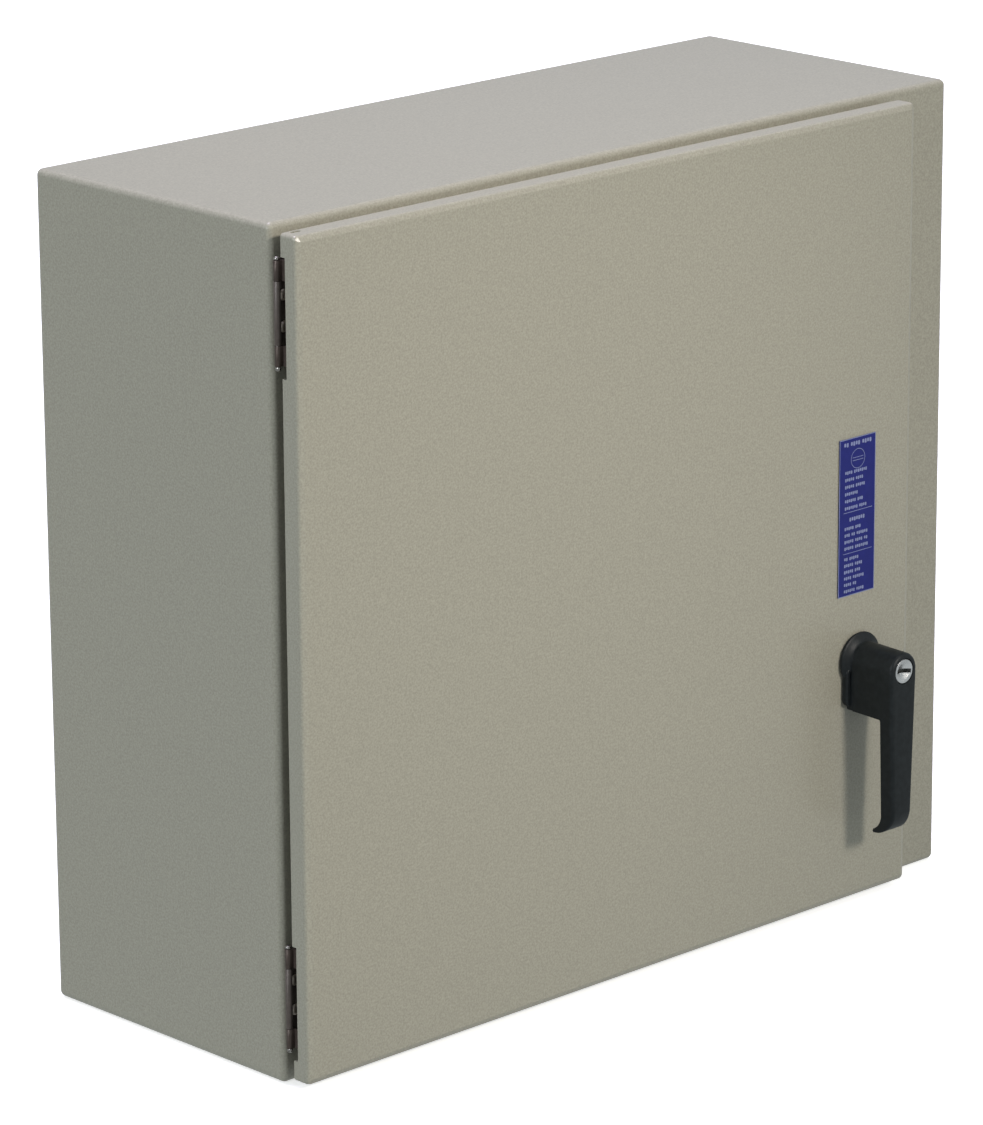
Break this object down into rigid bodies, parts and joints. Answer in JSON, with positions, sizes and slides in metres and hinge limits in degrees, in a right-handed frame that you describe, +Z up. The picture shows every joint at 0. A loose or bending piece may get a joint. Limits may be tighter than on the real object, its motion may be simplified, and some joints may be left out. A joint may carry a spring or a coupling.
{
  "type": "ac disconnect box",
  "caption": "Wall-mounted steel enclosure for an AC disconnect: hinged door with a three-point latch and a handle, and a fusible knife switch inside.",
  "frame": {"origin": "centre of the cabinet's back face, which goes against the wall", "axes": "+Z up, +Y into the wall, the door faces -Y, +X to the right as seen from the front"},
  "size_m": [0.5596, 0.2638, 0.508],
  "materials": {
    "paint": "putty grey powder coat, fine texture",
    "zinc": "zinc plated",
    "panel": "white enamel",
    "aluminium": "extruded",
    "hinge_steel": "oiled steel",
    "gasket": "closed-cell foam",
    "rubber": "moulded",
    "label": "printed film",
    "black": "satin black die casting",
    "bright_steel": "plated steel",
    "nylon": "moulded nylon",
    "phenolic": "moulded",
    "lever": "red enamel",
    "shield": "clear sheet",
    "copper": "tinned copper alloy",
    "fuse": "fibre tube"
  },
  "bodies": {
    "cabinet": {"cabinet_shell": "paint", "upper_keeper": "zinc", "lower_keeper": "zinc", "centre_keeper": "zinc", "panel_nut_1": "zinc", "panel_nut_2": "zinc", "panel_nut_3": "zinc", "panel_nut_4": "zinc", "upper_hinge_screw_1": "zinc", "upper_hinge_screw_2": "zinc", "lower_hinge_screw_1": "zinc", "lower_hinge_screw_2": "zinc", "back_panel": "panel", "ground_bar": "aluminium", "upper_hinge_cabinet_leaf": "hinge_steel", "upper_hinge_pin": "hinge_steel", "lower_hinge_cabinet_leaf": "hinge_steel", "lower_hinge_pin": "hinge_steel", "switch_base": "phenolic", "line_shield": "shield", "line_terminal_1": "copper", "hinge_terminal_1": "copper", "load_terminal_1": "copper", "line_terminal_2": "copper", "hinge_terminal_2": "copper", "load_terminal_2": "copper", "line_terminal_3": "copper", "hinge_terminal_3": "copper", "load_terminal_3": "copper", "fuse_1": "fuse", "fuse_2": "fuse", "fuse_3": "fuse"},
    "door": {"door_shell": "paint", "door_gasket": "gasket", "instruction_label": "label", "upper_rod_guide": "zinc", "lower_rod_guide": "zinc", "handle_base": "black", "handle_seal": "rubber", "base_nut": "zinc", "upper_hinge_door_leaf": "hinge_steel", "lower_hinge_door_leaf": "hinge_steel"},
    "handle": {"handle_lever": "black", "handle_shaft": "zinc", "latch_cam": "zinc", "shaft_nut": "zinc"},
    "defeater": {"defeater_screw": "bright_steel", "defeater_lever": "zinc"},
    "upper_rod": {"upper_latch_rod": "zinc"},
    "lower_rod": {"lower_latch_rod": "zinc"},
    "upper_roller": {"upper_latch_roller": "nylon"},
    "lower_roller": {"lower_latch_roller": "nylon"},
    "switch_rotor": {"crossbar": "phenolic", "switch_lever": "lever", "blade_1": "copper", "blade_2": "copper", "blade_3": "copper"}
  },
  "joints": [
    {"name": "door_swing", "type": "hinge", "parent": "cabinet", "child": "door", "pos_m": [-0.2782, -0.2077, 0], "axis": [0, 0, -1], "range_deg": [0, 165]},
    {"name": "handle_turn", "type": "hinge", "parent": "door", "child": "handle", "pos_m": [0.1814, -0.2248, -0.0935], "axis": [0, 1, 0], "range_deg": [0, 90]},
    {"name": "defeater_turn", "type": "hinge", "parent": "handle", "child": "defeater", "pos_m": [0.1814, -0.2248, -0.0935], "axis": [0, 1, 0], "range_deg": [0, 60]},
    {"name": "upper_rod_slide", "type": "slide", "parent": "door", "child": "upper_rod", "axis": [0, 0, -1], "range_m": [0, 0.02546]},
    {"name": "lower_rod_slide", "type": "slide", "parent": "door", "child": "lower_rod", "axis": [0, 0, 1], "range_m": [0, 0.02546]},
    {"name": "upper_roller_spin", "type": "hinge", "parent": "upper_rod", "child": "upper_roller", "pos_m": [0.1968, -0.1932, 0.22375], "axis": [1, 0, 0], "continuous": true},
    {"name": "lower_roller_spin", "type": "hinge", "parent": "lower_rod", "child": "lower_roller", "pos_m": [0.166, -0.1932, -0.22375], "axis": [1, 0, 0], "continuous": true},
    {"name": "switch_throw", "type": "hinge", "parent": "cabinet", "child": "switch_rotor", "pos_m": [0.055, -0.057, 0.01], "axis": [1, 0, 0], "range_deg": [0, 70]}
  ],
  "couplings": [
    {"joint": "upper_rod_slide", "follows": "handle_turn", "m_per_rad": 0.016207},
    {"joint": "lower_rod_slide", "follows": "handle_turn", "m_per_rad": 0.016207}
  ]
}
